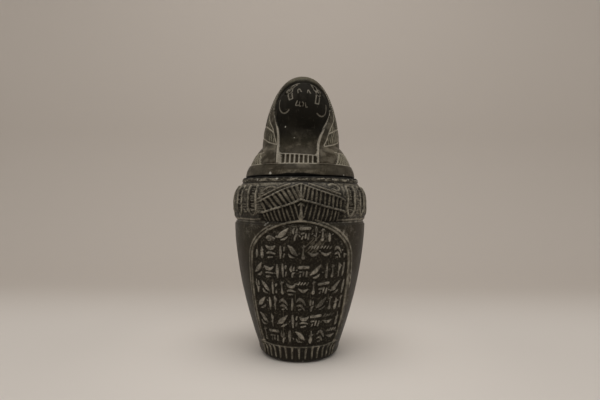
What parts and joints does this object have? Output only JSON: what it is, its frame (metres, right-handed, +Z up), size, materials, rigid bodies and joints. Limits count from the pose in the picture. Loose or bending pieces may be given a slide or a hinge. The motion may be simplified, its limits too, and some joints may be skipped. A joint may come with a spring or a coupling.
{
  "type": "canopic jar",
  "caption": "Carved black stone canopic jar, a hollow tapering vessel with a winged shoulder band, an arched panel and a lift-off falcon-headed lid.",
  "frame": {"origin": "middle of the flat underside of the foot", "axes": "+Z up the jar, the carved front with the panel and the falcon's face towards -Y, +X to the right as seen from the front"},
  "size_m": [0.1234, 0.1238, 0.26],
  "materials": {
    "jar_stone": "semi-polished black-brown stone, with grey-beige dust left in the carving",
    "lid_stone": "semi-polished black-brown stone, darker on the face and worn lighter on the lappets"
  },
  "bodies": {
    "root": {"jar_body": "jar_stone", "lid": "lid_stone"}
  },
  "joints": []
}
